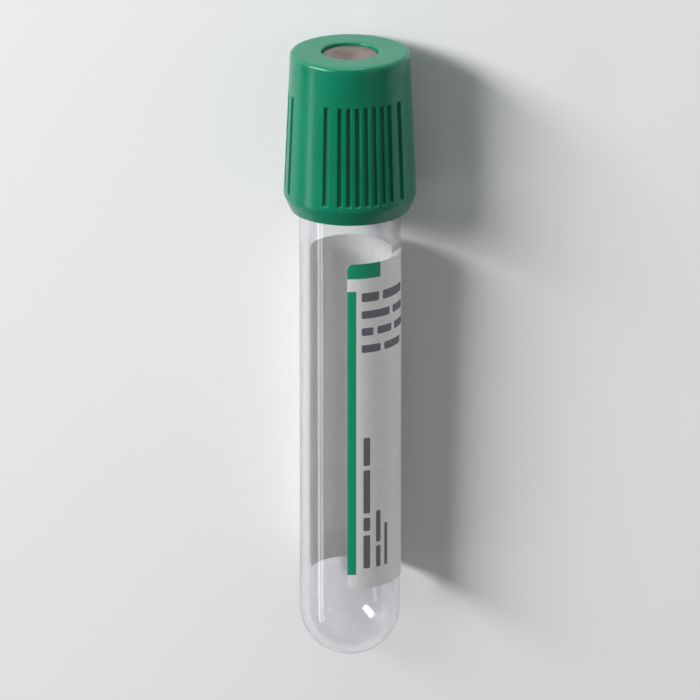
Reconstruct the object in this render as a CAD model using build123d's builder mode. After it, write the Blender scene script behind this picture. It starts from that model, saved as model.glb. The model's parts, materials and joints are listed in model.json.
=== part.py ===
from build123d import *
import math
import os

os.makedirs("parts", exist_ok=True)

# A capped 13 x 75 mm blood collection tube, lying on the bench on its round bottom and on the
# widest ring of its closure. Lengths are in millimetres. "Axial" sizes are measured along the
# tube's own axis from the tip of the round bottom, "radii" from that axis.

# --- tube: one blow of clear PET, round bottom, open mouth ------------------------------------
TUBE_LENGTH = 75.0
TUBE_R = 6.5
BORE_R = 5.4
MOUTH_R = 6.45  # the last stretch, under the closure, draws in a hair towards the mouth
DRAW_IN_FROM = 59.5
RIM_ROUND = 0.4

# --- closure shield: one moulded shell over the stopper and the top of the tube ---------------
SHIELD_TOP = 81.6
SHIELD_BOTTOM = 60.6
TOP_R = 7.65
TOP_ROUND = 0.6
RING_R = 8.5  # the widest ring, just above the bottom edge
RING_ABOVE_BOTTOM = 2.0
RING_ROUND = 0.8
BOTTOM_R = 7.6
PORT_R = 3.65  # hole in the shield's top that shows the stopper
PORT_EDGE = 0.25
TOP_PLATE = 1.5
HEAD_ROOM_R = 7.07  # pocket for the stopper's head
LEDGE_R = 6.75  # snap ledge under the head
LEDGE_THICK = 1.0
SKIRT_IN_TOP_R = 7.05
SKIRT_IN_BOTTOM_R = 7.15

# --- grip: three ribbed panels between three plain ones ---------------------------------------
PANEL_CENTRES = (30.0, 150.0, 270.0)
RIB_GROOVES = (-24.0, -16.0, -8.0, 0.0, 8.0, 16.0, 24.0)
PANEL_EDGES = (-37.0, 37.0)
GROOVE_W = 0.56
EDGE_GROOVE_W = 0.66
GROOVE_DEPTH = 0.42
GROOVE_TOP = SHIELD_TOP - 5.3
GROOVE_BOTTOM = SHIELD_BOTTOM + 2.7

# --- stopper: one moulding of butyl rubber ----------------------------------------------------
PLUG_R = 5.35
PLUG_END = 66.0
PLUG_END_R = 4.9
HEAD_R = 7.05
SEAT_GAP = 0.02
NECK_R = 3.6
NECK_RECESS = 0.4  # the rubber stands this far below the shield's top
DIMPLE_R = 2.95
DIMPLE_DEPTH = 0.85
WELL_R = 3.0
WELL_DEPTH = 5.0

# --- paper label, wrapped part of the way round -----------------------------------------------
LABEL_IN_R = 6.51
LABEL_THICK = 0.08
LABEL_FROM, LABEL_TO = 11.0, 55.1
LABEL_START, LABEL_ARC = 12.0, 262.0
LABEL_CORNER = 0.7

# --- how it lies ------------------------------------------------------------------------------
flare = (RING_R - TOP_R) / (SHIELD_TOP - SHIELD_BOTTOM - RING_ABOVE_BOTTOM)
bevel = (RING_R - BOTTOM_R) / RING_ABOVE_BOTTOM
# centre of the round on the widest ring, from its two tangent lines
n1 = (-flare / math.hypot(flare, 1), -1 / math.hypot(flare, 1))
n2 = (bevel / math.hypot(bevel, 1), -1 / math.hypot(bevel, 1))
det = n1[0] * n2[1] - n1[1] * n2[0]
ring_dx = RING_ROUND * (n2[1] - n1[1]) / det
ring_dr = RING_ROUND * (n1[0] - n2[0]) / det
RING_CORNER_R = RING_R - ring_dr - RING_ROUND  # the sharp corner that rounds down to RING_R
RING_X = SHIELD_BOTTOM + RING_ABOVE_BOTTOM
ring_cx, ring_cr = RING_X + ring_dx, RING_CORNER_R + ring_dr

# the line that touches both the round bottom and the ring is the bench
run, rise = ring_cx - TUBE_R, ring_cr
TILT = math.atan2(rise, run) - math.asin((TUBE_R - RING_ROUND) / math.hypot(run, rise))
ct, st = math.cos(TILT), math.sin(TILT)
far_end = (SHIELD_TOP - TOP_ROUND - TUBE_R) * ct + (TOP_R - TOP_ROUND) * st + TOP_ROUND
CENTRE_X = (TUBE_R - far_end) / 2  # of the round bottom, which puts the origin mid-length

ALONG = Vector(ct, 0, st)
UP = Vector(-st, 0, ct)
TIP = Vector(CENTRE_X, 0, TUBE_R) - ALONG * TUBE_R
AXIS = Axis(TIP, ALONG)
SIDE = Plane(origin=TIP, x_dir=ALONG, z_dir=(0, -1, 0))  # local x axial, local y radius


def half_plane(angle):
    """SIDE turned about the axis, so that its radius points to this angle."""
    turn = math.radians(angle)
    out = UP * math.cos(turn) + Vector(0, -1, 0) * math.sin(turn)
    return Plane(origin=TIP, x_dir=ALONG, z_dir=ALONG.cross(out))


def across(axial):
    """Plane square to the axis. Angles in it run from straight up towards -Y."""
    return Plane(origin=TIP + ALONG * axial, x_dir=UP, z_dir=ALONG)


def shield_r(axial):
    """Radius of the shield's flared side."""
    return RING_CORNER_R + (TOP_R - RING_CORNER_R) * (axial - RING_X) / (SHIELD_TOP - RING_X)


# ----------------------------------------------------------------------------------------------
with BuildPart() as tube:
    with BuildSketch(SIDE):
        with BuildLine():
            mouth = TUBE_LENGTH
            inner_tip = TUBE_R - BORE_R
            Line((inner_tip, 0), (0, 0))
            CenterArc((TUBE_R, 0), TUBE_R, 180, -90)
            Line((TUBE_R, TUBE_R), (DRAW_IN_FROM, TUBE_R))
            Line((DRAW_IN_FROM, TUBE_R), (mouth, MOUTH_R))
            Line((mouth, MOUTH_R), (mouth, BORE_R))
            Line((mouth, BORE_R), (TUBE_R, BORE_R))
            CenterArc((TUBE_R, 0), BORE_R, 90, 90)
        make_face()
        rim = vertices().sort_by_distance((mouth, MOUTH_R, 0))[0]
        fillet(rim, RIM_ROUND)
        rim = vertices().sort_by_distance((mouth, BORE_R, 0))[0]
        fillet(rim, RIM_ROUND)
    revolve(axis=AXIS)
tube.part.label = "tube"

# ----------------------------------------------------------------------------------------------
ledge_top = TUBE_LENGTH + SEAT_GAP
head_top = SHIELD_TOP - TOP_PLATE

with BuildPart() as stopper:
    with BuildSketch(SIDE):
        with BuildLine():
            neck_top = SHIELD_TOP - NECK_RECESS
            well_end = PLUG_END + WELL_DEPTH
            Polyline(
                (neck_top, DIMPLE_R),
                (neck_top, NECK_R),
                (head_top, NECK_R),
                (head_top, HEAD_R),
                (ledge_top, HEAD_R),
                (ledge_top, PLUG_R),
                (PLUG_END + 1.4, PLUG_R),
                (PLUG_END, PLUG_END_R),
                (PLUG_END, WELL_R + 0.3),
                (well_end, WELL_R - 0.3),
                (well_end, 0),
                (neck_top - DIMPLE_DEPTH, 0),
            )
            ThreePointArc(
                (neck_top - DIMPLE_DEPTH, 0),
                (neck_top - DIMPLE_DEPTH * 0.74, DIMPLE_R * 0.52),
                (neck_top, DIMPLE_R),
            )
        make_face()
        fillet(vertices().sort_by_distance((head_top, HEAD_R, 0))[0], 0.5)
        fillet(vertices().sort_by_distance((well_end, WELL_R - 0.3, 0))[0], 1.0)
        fillet(vertices().sort_by_distance((PLUG_END, PLUG_END_R, 0))[0], 0.4)
        fillet(vertices().sort_by_distance((neck_top, NECK_R, 0))[0], 0.2)
    revolve(axis=AXIS)
stopper.part.label = "stopper"

# ----------------------------------------------------------------------------------------------
with BuildPart() as groove_tools:
    with BuildSketch(SIDE):
        with BuildLine():
            low, high = shield_r(GROOVE_BOTTOM), shield_r(GROOVE_TOP)
            Polyline(
                (GROOVE_BOTTOM + 0.25, low - GROOVE_DEPTH),
                (GROOVE_TOP - 0.35, high - GROOVE_DEPTH),
                (GROOVE_TOP + 0.6, high + 1.0),
                (GROOVE_BOTTOM - 0.4, low + 1.0),
                close=True,
            )
        make_face()
    revolve(axis=AXIS)
    with BuildSketch(across(GROOVE_BOTTOM - 1.0)):
        for centre in PANEL_CENTRES:
            for offset in RIB_GROOVES + PANEL_EDGES:
                wide = EDGE_GROOVE_W if offset in PANEL_EDGES else GROOVE_W
                with PolarLocations(RING_R, 1, start_angle=centre + offset):
                    Rectangle(4.0, wide)
    extrude(amount=GROOVE_TOP - GROOVE_BOTTOM + 2.0, mode=Mode.INTERSECT)

# the seam of the turned shell runs along its underside, just off the line of contact
with BuildPart() as shield:
    with BuildSketch(half_plane(178.04)):
        with BuildLine():
            ledge_bottom = ledge_top - LEDGE_THICK
            Polyline(
                (SHIELD_TOP, PORT_R),
                (SHIELD_TOP, TOP_R),
                (RING_X, RING_CORNER_R),
                (SHIELD_BOTTOM, BOTTOM_R),
                (SHIELD_BOTTOM, SKIRT_IN_BOTTOM_R),
                (ledge_bottom - 0.4, SKIRT_IN_TOP_R),
                (ledge_bottom, LEDGE_R),
                (ledge_top, LEDGE_R),
                (ledge_top, HEAD_ROOM_R),
                (head_top, HEAD_ROOM_R),
                (head_top, PORT_R),
                close=True,
            )
        make_face()
        fillet(vertices().sort_by_distance((SHIELD_TOP, TOP_R, 0))[0], TOP_ROUND)
        fillet(vertices().sort_by_distance((RING_X, RING_CORNER_R, 0))[0], RING_ROUND)
        chamfer(vertices().sort_by_distance((SHIELD_TOP, PORT_R, 0))[0], PORT_EDGE)
        chamfer(vertices().sort_by_distance((SHIELD_BOTTOM, BOTTOM_R, 0))[0], 0.15)
    revolve(axis=AXIS)
    add(groove_tools.part, mode=Mode.SUBTRACT)
shield.part.label = "shield"

# ----------------------------------------------------------------------------------------------
with BuildPart() as paper_label:
    with BuildSketch(half_plane(LABEL_START)):
        with BuildLine():
            Polyline(
                (LABEL_FROM, LABEL_IN_R),
                (LABEL_TO, LABEL_IN_R),
                (LABEL_TO, LABEL_IN_R + LABEL_THICK),
                (LABEL_FROM, LABEL_IN_R + LABEL_THICK),
                close=True,
            )
        make_face()
    revolve(axis=AXIS, revolution_arc=LABEL_ARC)
    # the four short edges through the paper are the label's corners, cut round
    fillet(edges().sort_by(SortBy.LENGTH)[:4], LABEL_CORNER)
paper_label.part.label = "paper_label"

# ----------------------------------------------------------------------------------------------
for piece, name in (
    (tube, "tube"),
    (stopper, "stopper"),
    (shield, "shield"),
    (paper_label, "paper_label"),
):
    export_step(piece.part, "parts/" + name + ".step")

box = (tube.part + shield.part).bounding_box()
print("tilt_deg", round(math.degrees(TILT), 4), "bottom centre x", round(CENTRE_X, 4))
print("tip", [round(v, 4) for v in TIP], "along", [round(v, 6) for v in ALONG])
print("box", box.min, box.max)
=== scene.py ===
import json
import math

import bpy
import numpy as np
from mathutils import Matrix, Vector


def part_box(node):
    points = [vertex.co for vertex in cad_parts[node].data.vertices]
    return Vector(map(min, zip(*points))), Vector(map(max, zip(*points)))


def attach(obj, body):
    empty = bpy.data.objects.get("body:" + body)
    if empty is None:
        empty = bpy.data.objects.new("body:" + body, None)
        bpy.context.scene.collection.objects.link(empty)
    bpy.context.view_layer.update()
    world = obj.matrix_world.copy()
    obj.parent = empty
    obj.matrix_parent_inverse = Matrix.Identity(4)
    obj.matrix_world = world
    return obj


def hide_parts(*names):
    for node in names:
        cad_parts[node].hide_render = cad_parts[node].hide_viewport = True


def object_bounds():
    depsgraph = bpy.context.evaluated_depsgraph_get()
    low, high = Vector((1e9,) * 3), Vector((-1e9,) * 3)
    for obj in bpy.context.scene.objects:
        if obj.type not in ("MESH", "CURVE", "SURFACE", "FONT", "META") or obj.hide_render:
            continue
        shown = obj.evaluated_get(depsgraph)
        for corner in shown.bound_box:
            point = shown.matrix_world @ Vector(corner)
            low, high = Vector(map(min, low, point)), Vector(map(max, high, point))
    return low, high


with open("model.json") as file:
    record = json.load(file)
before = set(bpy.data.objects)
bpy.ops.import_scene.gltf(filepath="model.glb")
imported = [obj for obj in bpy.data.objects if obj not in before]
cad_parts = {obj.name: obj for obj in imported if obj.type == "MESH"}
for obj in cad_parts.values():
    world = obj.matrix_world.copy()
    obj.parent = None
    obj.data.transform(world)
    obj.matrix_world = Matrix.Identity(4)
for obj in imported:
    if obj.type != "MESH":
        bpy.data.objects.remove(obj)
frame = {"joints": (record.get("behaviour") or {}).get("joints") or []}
cad_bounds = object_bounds()

MM = 0.001

# --- where the tube lies ----------------------------------------------------------------------
# Every place below is axial millimetres from the tip of the round bottom, a radius in
# millimetres, and an angle that runs from straight up towards -Y.
TUBE_R, BORE_R, TUBE_LENGTH = 6.5, 5.4, 75.0
SHIELD_TOP, SHIELD_BOTTOM = 81.6, 60.6
ALONG = Vector(frame["joints"][0]["axis"]).normalized()
UP = Vector((-ALONG.z, 0.0, ALONG.x))
SIDE = ALONG.cross(UP)
# the round bottom rests on the bench, and the tip is the tube's lowest place along X
TIP = Vector((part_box("tube")[0].x, 0.0, TUBE_R * MM * (1.0 - ALONG.z)))
TURN = 15.0  # the camera stands this far round the axis (degrees), where ribs and label both show
SHAVE = 0.006  # the outer faces stand this much inside their true size, within the CAD box


def outward(phi):
    return UP * math.cos(phi) + SIDE * math.sin(phi)


def rounded(points, radii, step=0.12):
    """A line through points with arcs at the corners that have a radius."""
    line = []
    for i, p in enumerate(points):
        r = radii.get(i, 0.0)
        p = np.array(p, float)
        if not r:
            line.append(p)
            continue
        a = np.array(points[i - 1], float) - p
        b = np.array(points[(i + 1) % len(points)], float) - p
        a, b = a / np.linalg.norm(a), b / np.linalg.norm(b)
        half = math.acos(np.clip(a @ b, -1, 1)) / 2
        centre = p + (a + b) / np.linalg.norm(a + b) * r / math.sin(half)
        p0, p1 = p + a * r / math.tan(half), p + b * r / math.tan(half)
        v0, v1 = p0 - centre, p1 - centre
        turn = math.pi - 2 * half
        n = max(4, int(math.ceil(r * turn / step)))
        sign = 1.0 if v0[0] * v1[1] - v0[1] * v1[0] > 0 else -1.0
        for k in range(n + 1):
            t = sign * turn * k / n
            line.append(
                centre
                + np.array(
                    [
                        v0[0] * math.cos(t) - v0[1] * math.sin(t),
                        v0[0] * math.sin(t) + v0[1] * math.cos(t),
                    ]
                )
            )
    return line


def arc(centre, radius, start, sweep, n):
    """Points on an arc in the half plane (axial, radius). Angles in degrees."""
    return [
        np.array(
            [
                centre[0] + radius * math.cos(math.radians(start + sweep * k / n)),
                centre[1] + radius * math.sin(math.radians(start + sweep * k / n)),
            ]
        )
        for k in range(n + 1)
    ]


def densified(line, longest):
    """The same line with long straight runs cut up, so that quads stay square enough."""
    out = [np.array(line[0], float)]
    for p in line[1:]:
        p = np.array(p, float)
        n = max(1, int(math.ceil(np.linalg.norm(p - out[-1]) / longest)))
        a = out[-1]
        for k in range(1, n + 1):
            out.append(a + (p - a) * k / n)
    return out


def turned(name, line, angles, closed=True, radius_at=None, sharp=32.0):
    """A body turned from a closed line. Points on the axis become one vertex."""
    verts, rows = [], []
    for s, r in line:
        if r < 1e-6:
            rows.append([len(verts)])
            verts.append(TIP + ALONG * (s * MM))
            continue
        row = []
        for phi in angles:
            q = radius_at(s, r, phi) if radius_at else r
            row.append(len(verts))
            verts.append(
                TIP
                + ALONG * (s * MM)
                + outward(phi) * (q * MM)
            )
        rows.append(row)
    n = len(angles)
    faces = []
    count = len(rows) if closed else len(rows) - 1
    for i in range(count):
        a, b = rows[i], rows[(i + 1) % len(rows)]
        if len(a) == 1 and len(b) == 1:
            continue
        for k in range(n):
            j = (k + 1) % n
            if len(a) == 1:
                faces.append((a[0], b[k], b[j]))
            elif len(b) == 1:
                faces.append((a[k], b[0], a[j]))
            else:
                faces.append((a[k], b[k], b[j], a[j]))
    return made(name, verts, faces, sharp)


def made(name, verts, faces, sharp=32.0):
    mesh = bpy.data.meshes.new(name)
    mesh.from_pydata([tuple(v) for v in verts], [], faces)
    mesh.validate()
    mesh.update()
    import bmesh

    bm = bmesh.new()
    bm.from_mesh(mesh)
    bmesh.ops.recalc_face_normals(bm, faces=bm.faces)
    bm.to_mesh(mesh)
    bm.free()
    mesh.polygons.foreach_set("use_smooth", [True] * len(mesh.polygons))
    if sharp:
        mesh.set_sharp_from_angle(angle=math.radians(sharp))
    mesh.update()
    obj = bpy.data.objects.new(name, mesh)
    bpy.context.scene.collection.objects.link(obj)
    return obj


# --- shader helpers ---------------------------------------------------------------------------
class Nodes:
    def __init__(self, name):
        self.mat = bpy.data.materials.new(name)
        self.mat.use_nodes = True
        self.tree = self.mat.node_tree
        self.tree.nodes.clear()
        self.out = self.tree.nodes.new("ShaderNodeOutputMaterial")

    def new(self, kind, **values):
        node = self.tree.nodes.new(kind)
        for key, value in values.items():
            setattr(node, key, value)
        return node

    def put(self, socket, value):
        if isinstance(value, bpy.types.NodeSocket):
            self.tree.links.new(value, socket)
        else:
            socket.default_value = value

    def math(self, op, a, b=None, c=None, clamp=False):
        node = self.new("ShaderNodeMath", operation=op, use_clamp=clamp)
        self.put(node.inputs[0], a)
        if b is not None:
            self.put(node.inputs[1], b)
        if c is not None:
            self.put(node.inputs[2], c)
        return node.outputs[0]

    def vmath(self, op, a, b=None):
        node = self.new("ShaderNodeVectorMath", operation=op)
        self.put(node.inputs[0], a)
        if b is not None:
            self.put(node.inputs[1], b)
        return node.outputs["Value"] if op in ("DOT_PRODUCT", "LENGTH") else node.outputs[0]

    def object_coords(self):
        return self.new("ShaderNodeTexCoord").outputs["Object"]

    def cylinder(self):
        """(axial mm, angle in radians from straight up towards -Y, radius mm)"""
        p = self.vmath("SUBTRACT", self.object_coords(), tuple(TIP))
        s = self.math("MULTIPLY", self.vmath("DOT_PRODUCT", p, tuple(ALONG)), 1000.0)
        u = self.vmath("DOT_PRODUCT", p, tuple(UP))
        v = self.vmath("DOT_PRODUCT", p, tuple(SIDE))
        phi = self.math("ARCTAN2", v, u)
        rr = self.math("ADD", self.math("MULTIPLY", u, u), self.math("MULTIPLY", v, v))
        return s, phi, self.math("MULTIPLY", self.math("SQRT", rr), 1000.0)

    def drawn(self, s, phi, along, around):
        """Coordinates that run slowly along the tube and quickly around it."""
        node = self.new("ShaderNodeCombineXYZ")
        self.put(node.inputs[0], self.math("MULTIPLY", s, along))
        self.put(node.inputs[1], self.math("MULTIPLY", self.math("COSINE", phi), around))
        self.put(node.inputs[2], self.math("MULTIPLY", self.math("SINE", phi), around))
        return node.outputs[0]

    def bar(self, a, b, a0, a1, b0, b1, corner=0.2):
        """1 inside a bar from (a0, b0) to (a1, b1) whose corners are a little round."""
        corner = min(corner, (a1 - a0) / 2, (b1 - b0) / 2)
        past = []
        for value, low, high in ((a, a0, a1), (b, b0, b1)):
            off = self.math("ABSOLUTE", self.math("SUBTRACT", value, (low + high) / 2))
            past.append(self.math("MAXIMUM", self.math("SUBTRACT", off, (high - low) / 2 - corner), 0.0))
        x, y = past
        far = self.math("ADD", self.math("MULTIPLY", x, x), self.math("MULTIPLY", y, y))
        return self.math("LESS_THAN", far, corner * corner)

    def noise(self, scale, detail=2.0, rough=0.5, vector=None, dims="3D"):
        node = self.new("ShaderNodeTexNoise", noise_dimensions=dims)
        self.put(node.inputs["Vector"], vector or self.object_coords())
        node.inputs["Scale"].default_value = scale
        node.inputs["Detail"].default_value = detail
        node.inputs["Roughness"].default_value = rough
        return node.outputs[0]

    def ramp(self, value, low, high, to_low=0.0, to_high=1.0, smooth=False):
        node = self.new("ShaderNodeMapRange")
        node.interpolation_type = "SMOOTHSTEP" if smooth else "LINEAR"
        self.put(node.inputs["Value"], value)
        node.inputs["From Min"].default_value = low
        node.inputs["From Max"].default_value = high
        node.inputs["To Min"].default_value = to_low
        node.inputs["To Max"].default_value = to_high
        return node.outputs[0]

    def mix(self, factor, a, b):
        node = self.new("ShaderNodeMix", data_type="RGBA")
        self.put(node.inputs["Factor"], factor)
        self.put(node.inputs[6], a)
        self.put(node.inputs[7], b)
        return node.outputs[2]

    def bump(self, height, distance, strength=1.0, normal=None):
        node = self.new("ShaderNodeBump")
        node.inputs["Strength"].default_value = strength
        node.inputs["Distance"].default_value = distance
        self.put(node.inputs["Height"], height)
        if normal is not None:
            self.put(node.inputs["Normal"], normal)
        return node.outputs["Normal"]

    def principled(self, **values):
        node = self.new("ShaderNodeBsdfPrincipled")
        for key, value in values.items():
            self.put(node.inputs[key.replace("_", " ")], value)
        return node

    def surface(self, socket):
        self.tree.links.new(socket, self.out.inputs["Surface"])
        return self.mat


def rgb(r, g, b):
    return (r, g, b, 1.0)


# --- materials --------------------------------------------------------------------------------
def green_plastic():
    """Moulded polypropylene: glossy and a little waxy, with faint flow marks and a fine skin."""
    n = Nodes("green_plastic")
    s, phi, radius = n.cylinder()
    flow = n.noise(1.0, 3.0, 0.55, vector=n.drawn(s, phi, 0.10, 1.6))
    cloud = n.noise(190.0, 3.0, 0.6)
    fine = n.noise(2400.0, 2.0, 0.5)
    tone = n.math("ADD", n.math("MULTIPLY", flow, 0.6), n.math("MULTIPLY", cloud, 0.4))
    colour = n.mix(
        n.ramp(tone, 0.32, 0.68), rgb(0.000, 0.183, 0.093), rgb(0.000, 0.225, 0.117)
    )
    # the flat top is etched finer than the polished side
    top = n.ramp(s, SHIELD_TOP - 0.35, SHIELD_TOP - 0.05)
    rough = n.math("ADD", n.ramp(cloud, 0.25, 0.75, 0.20, 0.28), n.math("MULTIPLY", top, 0.10))
    # so are the grooves and the inside, which the mould leaves unpolished
    side = n.ramp(s, RING_X, SHIELD_TOP, RING_CORNER_R, TOP_R)
    deep = n.ramp(n.math("SUBTRACT", side, radius), 0.05, 0.16)
    within = n.math("MULTIPLY", n.ramp(s, GROOVE_BOTTOM - 0.4, GROOVE_BOTTOM - 0.3), n.ramp(s, GROOVE_TOP + 0.7, GROOVE_TOP + 0.6))
    rough = n.math("ADD", rough, n.math("MULTIPLY", n.math("MULTIPLY", deep, within), 0.26))
    height = n.math("ADD", n.math("MULTIPLY", fine, 0.3), cloud)
    bsdf = n.principled(
        Base_Color=colour,
        Roughness=rough,
        IOR=1.47,
        Subsurface_Weight=0.12,
        Subsurface_Radius=(0.3, 1.0, 0.6),
        Subsurface_Scale=0.0007,
        Normal=n.bump(height, 0.00003, 0.35),
    )
    return n.surface(bsdf.outputs[0])


def clear_plastic(name="clear_plastic", clearness=1.0, least_rough=0.02):
    """Polished PET. Lamps pass through it, so that what stands behind it stays lit."""
    n = Nodes(name)
    s, phi, radius = n.cylinder()
    # draw marks run along the tube, and the inner wall carries a thin dried film
    streaks = n.noise(1.0, 2.0, 0.5, vector=n.drawn(s, phi, 0.03, 5.0))
    wide = n.noise(1.0, 1.0, 0.5, vector=n.drawn(s, phi, 0.012, 1.3))
    inner = n.math("LESS_THAN", radius, 5.95)
    film = n.ramp(n.noise(900.0, 4.0, 0.6), 0.35, 0.75, 0.01, 0.09)
    rough = n.math("ADD", n.math("MULTIPLY", inner, film), least_rough)
    waves = n.math("ADD", n.math("MULTIPLY", wide, 2.5), streaks)
    glass = n.principled(
        Base_Color=rgb(0.925, 0.932, 0.945),
        Roughness=rough,
        IOR=1.57,
        Transmission_Weight=clearness,
        Normal=n.bump(waves, 0.00005, 0.12),
    )
    clear = n.new("ShaderNodeBsdfTransparent")
    clear.inputs["Color"].default_value = rgb(0.95, 0.95, 0.95)
    path = n.new("ShaderNodeLightPath")
    shader = glass.outputs[0]
    # neither lamps nor the glow of the bench are bent on their way through
    for ray in ("Is Shadow Ray", "Is Diffuse Ray"):
        mix = n.new("ShaderNodeMixShader")
        n.put(mix.inputs[0], path.outputs[ray])
        n.put(mix.inputs[1], shader)
        n.put(mix.inputs[2], clear.outputs[0])
        shader = mix.outputs[0]
    return n.surface(shader)


def rubber():
    """Matt butyl rubber, brown-grey, faintly mottled."""
    n = Nodes("rubber")
    mottle = n.noise(700.0, 4.0, 0.6)
    fine = n.noise(3500.0, 2.0, 0.5)
    colour = n.mix(
        n.ramp(mottle, 0.3, 0.7), rgb(0.126, 0.096, 0.084), rgb(0.192, 0.147, 0.129)
    )
    bsdf = n.principled(
        Base_Color=colour,
        Roughness=n.ramp(mottle, 0.2, 0.8, 0.30, 0.44),
        IOR=1.5,
        Normal=n.bump(n.math("ADD", mottle, n.math("MULTIPLY", fine, 0.4)), 0.00005, 0.4),
    )
    return n.surface(bsdf.outputs[0])


LABEL_IN_R, LABEL_THICK = 6.51, 0.08
LABEL_FROM, LABEL_TO = 11.0, 55.1
LABEL_START, LABEL_ARC = 12.0, 262.0


def label_paper():
    """Coated paper with a green edge band, a green tab and plain bars where print would be."""
    n = Nodes("label_paper")
    s, phi, radius = n.cylinder()
    # around the tube from the label's left edge, in mm, and down from its top edge
    turn = n.math("SUBTRACT", phi, math.radians(LABEL_START))
    turn = n.math("MODULO", n.math("ADD", turn, 4 * math.pi), 2 * math.pi)
    w = n.math("MULTIPLY", turn, LABEL_IN_R + LABEL_THICK)
    t = n.math("SUBTRACT", LABEL_TO, s)

    def over(value, edge):
        return n.math("GREATER_THAN", value, edge)

    def between(value, low, high):
        return n.math("MULTIPLY", over(value, low), n.math("LESS_THAN", value, high))

    def box(w0, w1, t0, t1):
        return n.math("MULTIPLY", between(w, w0, w1), between(t, t0, t1))

    def either(*masks):
        total = masks[0]
        for m in masks[1:]:
            total = n.math("MAXIMUM", total, m)
        return total

    green = either(box(-1.0, 4.5, -1.0, 2.0), box(-1.0, 1.15, 3.7, 42.2))
    # four lines across, then two columns down: plain bars, broken where words would end
    lines = (
        (4.55, 0.60, ((1.85, 4.3), (4.9, 9.4))),
        (6.9, 0.52, ((1.85, 6.15), (6.75, 9.7))),
        (9.2, 0.52, ((1.85, 3.45), (4.05, 6.5), (7.1, 10.0))),
        (11.5, 0.52, ((1.85, 4.55), (5.15, 8.8))),
    )
    columns = (
        (2.55, 0.46, ((23.6, 27.4), (28.0, 33.9), (34.5, 36.3), (36.9, 41.4))),
        (4.2, 0.34, ((33.7, 38.0), (38.5, 41.4))),
        (5.45, 0.26, ((35.6, 41.4),)),
    )
    dark = either(
        *[n.bar(w, t, a0, a1, m - h, m + h) for m, h, runs in lines for a0, a1 in runs],
        *[n.bar(t, w, a0, a1, m - h, m + h) for m, h, runs in columns for a0, a1 in runs],
    )
    # ruled lines to write on, round the side
    rules = either(*[box(12.6, 26.2, at, at + 0.16) for at in (9.0, 15.5, 22.0, 28.5, 35.0)])
    outer = over(radius, LABEL_IN_R + LABEL_THICK * 0.6)
    fibre = n.noise(1500.0, 4.0, 0.65)
    paper = n.mix(n.ramp(fibre, 0.3, 0.7), rgb(0.82, 0.808, 0.786), rgb(0.885, 0.875, 0.856))
    # the side that faces the tube carries its coat of glue, which tints it warm; it is also painted lighter than
    # the printed face, a painted brightening that makes up for the dimmer light reaching it through the clear
    # wall
    paper = n.mix(outer, n.mix(n.ramp(fibre, 0.3, 0.7), rgb(0.88, 0.865, 0.835), rgb(0.93, 0.915, 0.885)), paper)
    ink = n.mix(n.math("MULTIPLY", green, outer), paper, rgb(0.003, 0.315, 0.160))
    ink = n.mix(n.math("MULTIPLY", rules, n.math("MULTIPLY", outer, 0.75)), ink, rgb(0.10, 0.12, 0.13))
    ink = n.mix(n.math("MULTIPLY", dark, n.math("MULTIPLY", outer, 0.86)), ink, rgb(0.040, 0.048, 0.085))
    bsdf = n.principled(
        Base_Color=ink,
        Roughness=n.ramp(fibre, 0.2, 0.8, 0.40, 0.52),
        IOR=1.48,
        Subsurface_Weight=0.3,
        Subsurface_Radius=(1.0, 0.95, 0.85),
        Subsurface_Scale=0.0004,
        Normal=n.bump(fibre, 0.00002, 0.3),
    )
    return n.surface(bsdf.outputs[0])


def stage_floor():
    n = Nodes("floor")
    bsdf = n.principled(Base_Color=rgb(0.79, 0.79, 0.795), Roughness=0.6)
    return n.surface(bsdf.outputs[0])


# --- tube -------------------------------------------------------------------------------------
MOUTH_R, DRAW_IN_FROM, RIM_ROUND = 6.45, 59.5, 0.4
rim = rounded(
    [
        (DRAW_IN_FROM, TUBE_R - SHAVE),
        (TUBE_LENGTH, MOUTH_R - SHAVE),
        (TUBE_LENGTH, BORE_R),
        (TUBE_R, BORE_R),
    ],
    {1: RIM_ROUND, 2: RIM_ROUND},
    0.07,
)
line = arc((TUBE_R, 0), TUBE_R - SHAVE, 180, -90, 40)
line += densified([line[-1]] + [rim[0]], 4.0)[1:]
line += densified(rim, 4.0)[1:]
line += arc((TUBE_R, 0), BORE_R, 90, 90, 36)[1:]
line[0][1] = line[-1][1] = 0.0
tube_angles = [2 * math.pi * k / 192 for k in range(192)]
# the line starts and ends on the axis, so it isn't closed
tube = turned("pet_tube", line, tube_angles, closed=False)
tube.data.materials.append(clear_plastic())
# the mould leaves the mouth's rim a little milky
tube.data.materials.append(clear_plastic("clear_rim", 0.5, 0.22))
for face in tube.data.polygons:
    if (face.center - TIP).dot(ALONG) > (TUBE_LENGTH - RIM_ROUND) * MM:
        face.material_index = 1
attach(tube, "tube_body")
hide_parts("tube")

# --- closure shield ---------------------------------------------------------------------------
TOP_R, TOP_ROUND = 7.65, 0.6
RING_R, RING_X, RING_ROUND, BOTTOM_R = 8.5, 62.6, 0.8, 7.6
PORT_R, PORT_ROUND, TOP_PLATE = 3.65, 0.25, 1.5
HEAD_ROOM_R, LEDGE_R, LEDGE_THICK = 7.07, 6.75, 1.0
SKIRT_IN_TOP_R, SKIRT_IN_BOTTOM_R = 7.05, 7.15
SEAT_GAP = 0.02
PANEL_CENTRES = (30.0, 150.0, 270.0)
RIB_GROOVES = (-24.0, -16.0, -8.0, 0.0, 8.0, 16.0, 24.0)
PANEL_EDGES = (-37.0, 37.0)
GROOVE_W, EDGE_GROOVE_W, GROOVE_DEPTH = 0.56, 0.66, 0.42
GROOVE_TOP, GROOVE_BOTTOM = SHIELD_TOP - 5.3, SHIELD_BOTTOM + 2.7

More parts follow.
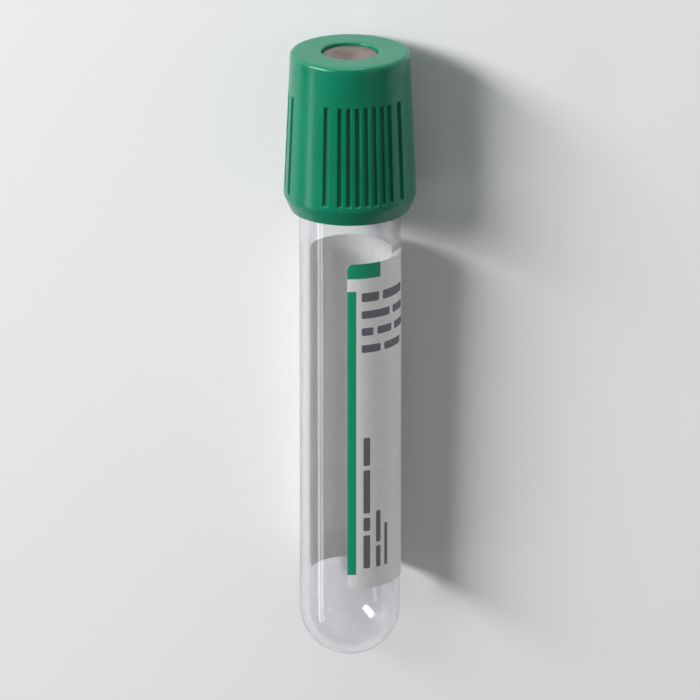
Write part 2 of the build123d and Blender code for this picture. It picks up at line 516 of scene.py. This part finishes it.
flare = (RING_R - TOP_R) / (SHIELD_TOP - SHIELD_BOTTOM - 2.0)
bevel = (RING_R - BOTTOM_R) / 2.0
n1 = (-flare / math.hypot(flare, 1), -1 / math.hypot(flare, 1))
n2 = (bevel / math.hypot(bevel, 1), -1 / math.hypot(bevel, 1))
det = n1[0] * n2[1] - n1[1] * n2[0]
RING_CORNER_R = RING_R - RING_ROUND * (n1[0] - n2[0]) / det - RING_ROUND


def smooth(x):
    x = min(1.0, max(0.0, x))
    return x * x * (3 - 2 * x)


grooves = [
    (math.radians(c + o), (EDGE_GROOVE_W if o in PANEL_EDGES else GROOVE_W) / 2)
    for c in PANEL_CENTRES
    for o in RIB_GROOVES + PANEL_EDGES
]


def shield_radius(s, r, phi):
    """Radius with the grip grooves let in, their walls a little drawn and their ends run out."""
    if r < 7.5 or not GROOVE_BOTTOM - 0.4 < s < GROOVE_TOP + 0.4:
        return r
    ends = smooth((s - GROOVE_BOTTOM + 0.06) / 0.18) * smooth((GROOVE_TOP + 0.1 - s) / 0.40)
    if ends <= 0:
        return r
    deep = 0.0
    for at, half in grooves:
        d = abs((phi - at + math.pi) % (2 * math.pi) - math.pi) * r
        if d < half + 0.09:
            deep = max(deep, smooth((half + 0.09 - d) / 0.20))
    return r - GROOVE_DEPTH * deep * ends


fine, coarse = [], []
for c in PANEL_CENTRES:
    k = -40.5
    while k <= 40.5:
        fine.append((c + k) % 360)
        k += 0.36
for k in range(0, 360, 3):
    if all(abs((k - c + 180) % 360 - 180) > 41.5 for c in PANEL_CENTRES):
        coarse.append(float(k))
shield_angles = [math.radians(a) for a in sorted(set(round(a, 4) for a in fine + coarse))]

ledge_top = TUBE_LENGTH + SEAT_GAP
ledge_bottom = ledge_top - LEDGE_THICK
head_top = SHIELD_TOP - TOP_PLATE
corners = [
    (SHIELD_TOP - SHAVE / 2, PORT_R),
    (SHIELD_TOP - SHAVE / 2, TOP_R - SHAVE),
    (RING_X, RING_CORNER_R - SHAVE),
    (SHIELD_BOTTOM, BOTTOM_R),
    (SHIELD_BOTTOM, SKIRT_IN_BOTTOM_R),
    (ledge_bottom - 0.4, SKIRT_IN_TOP_R),
    (ledge_bottom, LEDGE_R),
    (ledge_top, LEDGE_R),
    (ledge_top, HEAD_ROOM_R),
    (head_top, HEAD_ROOM_R),
    (head_top, PORT_R),
]
line = rounded(corners, {0: PORT_ROUND, 1: TOP_ROUND, 2: RING_ROUND, 3: 0.15, 4: 0.12}, 0.09)
out = []
for i, p in enumerate(line):
    q = line[(i + 1) % len(line)]
    out.append(p)
    span = np.linalg.norm(q - p)
    if span > 12 and p[1] > 7.4 and q[1] > 7.4:
        # the flared side: close rows where the grooves run out, wide ones between
        marks = list(np.arange(GROOVE_TOP + 0.5, GROOVE_TOP - 0.75, -0.11))
        marks = [SHIELD_TOP - 2.2, SHIELD_TOP - 3.8] + marks
        marks += list(np.linspace(GROOVE_TOP - 1.4, GROOVE_BOTTOM + 1.4, 9))
        marks += list(np.arange(GROOVE_BOTTOM + 0.24, GROOVE_BOTTOM - 0.12, -0.04))
        marks += [GROOVE_BOTTOM + 0.7, GROOVE_BOTTOM + 0.4, GROOVE_BOTTOM - 0.25]
        marks.sort(reverse=True)
        for m in marks:
            if q[0] + 0.02 < m < p[0] - 0.02:
                out.append(p + (q - p) * (p[0] - m) / (p[0] - q[0]))
    elif span > 3:
        for k in range(1, 4):
            out.append(p + (q - p) * k / 4)
shield = turned("closure_shield", out, shield_angles, closed=True, radius_at=shield_radius, sharp=50.0)
shield.data.materials.append(green_plastic())
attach(shield, "closure")
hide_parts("shield")

# --- stopper ----------------------------------------------------------------------------------
PLUG_R, PLUG_END, PLUG_END_R, HEAD_R = 5.35, 66.0, 4.9, 7.05
NECK_R, NECK_RECESS, DIMPLE_R, DIMPLE_DEPTH = 3.6, 0.4, 2.95, 0.85
WELL_R, WELL_DEPTH = 3.0, 5.0
neck_top, well_end = SHIELD_TOP - NECK_RECESS, PLUG_END + WELL_DEPTH
bottom = neck_top - DIMPLE_DEPTH
bowl = []
for k in range(17):
    r = DIMPLE_R * k / 16
    # the bowl flattens in the middle and turns up to its lip
    bowl.append((bottom + DIMPLE_DEPTH * smooth(r / DIMPLE_R) ** 0.9, r))
bowl[0] = (bottom, 0.0)
outline = rounded(
    [
        bowl[-1],
        (neck_top, NECK_R),
        (head_top, NECK_R),
        (head_top, HEAD_R),
        (ledge_top, HEAD_R),
        (ledge_top, PLUG_R),
        (PLUG_END + 1.4, PLUG_R),
        (PLUG_END, PLUG_END_R),
        (PLUG_END, WELL_R + 0.3),
        (well_end, WELL_R - 0.3),
        (well_end, 0.0),
    ],
    {1: 0.2, 3: 0.5, 7: 0.4, 8: 0.3, 9: 1.0},
    0.1,
)
line = [np.array(p, float) for p in bowl] + densified(outline, 2.0)[1:]
line[-1][1] = 0.0
stopper_angles = [2 * math.pi * k / 128 for k in range(128)]
stopper = turned("rubber_stopper", line, stopper_angles, closed=False, sharp=40.0)
stopper.data.materials.append(rubber())
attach(stopper, "closure")
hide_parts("stopper")

# --- label ------------------------------------------------------------------------------------
n_phi, n_s = 176, 44
verts, faces = [], []


def label_point(s, r, deg):
    return TIP + ALONG * (s * MM) + outward(math.radians(deg)) * (r * MM)


CORNER = 0.7
for layer in (LABEL_IN_R, LABEL_IN_R + LABEL_THICK):
    for i in range(n_phi + 1):
        x = i / n_phi
        a_mm = x * math.radians(LABEL_ARC) * layer
        width = math.radians(LABEL_ARC) * layer
        edge = min(a_mm, width - a_mm)
        # the four corners are cut round
        pull = CORNER - math.sqrt(max(0.0, CORNER**2 - (CORNER - edge) ** 2)) if edge < CORNER else 0.0
        lo, hi = LABEL_FROM + pull, LABEL_TO - pull
        for j in range(n_s + 1):
            verts.append(label_point(lo + (hi - lo) * j / n_s, layer, LABEL_START + LABEL_ARC * x))
step = n_s + 1
base = (n_phi + 1) * step


def vid(layer, i, j):
    return layer * base + i * step + j


for i in range(n_phi):
    for j in range(n_s):
        faces.append((vid(1, i, j), vid(1, i + 1, j), vid(1, i + 1, j + 1), vid(1, i, j + 1)))
        faces.append((vid(0, i, j), vid(0, i, j + 1), vid(0, i + 1, j + 1), vid(0, i + 1, j)))
for i in range(n_phi):
    for j in (0, n_s):
        faces.append((vid(0, i, j), vid(0, i + 1, j), vid(1, i + 1, j), vid(1, i, j)))
for j in range(n_s):
    for i in (0, n_phi):
        faces.append((vid(0, i, j), vid(1, i, j), vid(1, i, j + 1), vid(0, i, j + 1)))
label = made("label_wrap", verts, faces, 40.0)
label.data.materials.append(label_paper())
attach(label, "tube_body")
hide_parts("paper_label")

# --- floor, light, camera ---------------------------------------------------------------------
low, high = cad_bounds
floor_mesh = bpy.data.meshes.new("floor")
z = low[2]
size = 3.0
floor_mesh.from_pydata(
    [(-size, -size, z), (size, -size, z), (size, size, z), (-size, size, z)], [], [(0, 1, 2, 3)]
)
floor = bpy.data.objects.new("floor", floor_mesh)
bpy.context.scene.collection.objects.link(floor)
floor.data.materials.append(stage_floor())

scene = bpy.context.scene
world = bpy.data.worlds.new("studio")
scene.world = world
world.use_nodes = True
world.node_tree.nodes["Background"].inputs[0].default_value = (0.84, 0.87, 0.92, 1.0)
world.node_tree.nodes["Background"].inputs[1].default_value = 0.20

middle = (Vector(low) + Vector(high)) / 2
elevation = math.radians(19.0)
front = outward(math.radians(TURN))
toward = front * math.cos(elevation) + ALONG * math.sin(elevation)
camera_data = bpy.data.cameras.new("camera")
camera = bpy.data.objects.new("camera", camera_data)
scene.collection.objects.link(camera)
target = TIP + ALONG * (41.3 * MM)
distance = 1.4
z_axis = toward.normalized()
x_axis = ALONG.cross(z_axis).normalized()
y_axis = z_axis.cross(x_axis)
m = Matrix.Identity(4)
for i, axis in enumerate((x_axis, y_axis, z_axis)):
    for k in range(3):
        m[k][i] = axis[k]
m.translation = target + z_axis * distance
camera.matrix_world = m
camera_data.sensor_width = 36.0
camera_data.lens = 36.0 * distance / 0.090
camera_data.clip_start = 0.05
camera_data.clip_end = 20.0
scene.camera = camera


def softbox(name, direction, far, size_x, size_y, power, colour=(1, 1, 1)):
    """An area light at direction x far from the tube's middle, in the camera's own axes."""
    data = bpy.data.lights.new(name, "AREA")
    data.shape = "RECTANGLE"
    data.size, data.size_y = size_x, size_y
    data.energy = power
    data.color = colour
    light = bpy.data.objects.new(name, data)
    scene.collection.objects.link(light)
    d = (x_axis * direction[0] + y_axis * direction[1] + z_axis * direction[2]).normalized()
    light.location = target + d * far
    light.rotation_mode = "QUATERNION"
    light.rotation_quaternion = d.to_track_quat("Z", "Y")
    return light


softbox("key", (-1.0, 0.3, 0.62), 0.75, 0.20, 0.55, 6.5)
softbox("fill", (0.9, -0.1, 0.9), 0.9, 0.5, 0.6, 0.42)
softbox("top", (0.0, 1.0, 0.45), 0.8, 0.5, 0.3, 2.7)
# a narrow one, low on the left, whose long reflection shows the clear wall
softbox("strip", (-0.917, -0.383, 0.110), 0.8, 0.35, 0.08, 0.42)

scene.view_settings.view_transform = "Standard"
scene.view_settings.look = "None"
scene.view_settings.exposure = 0.0
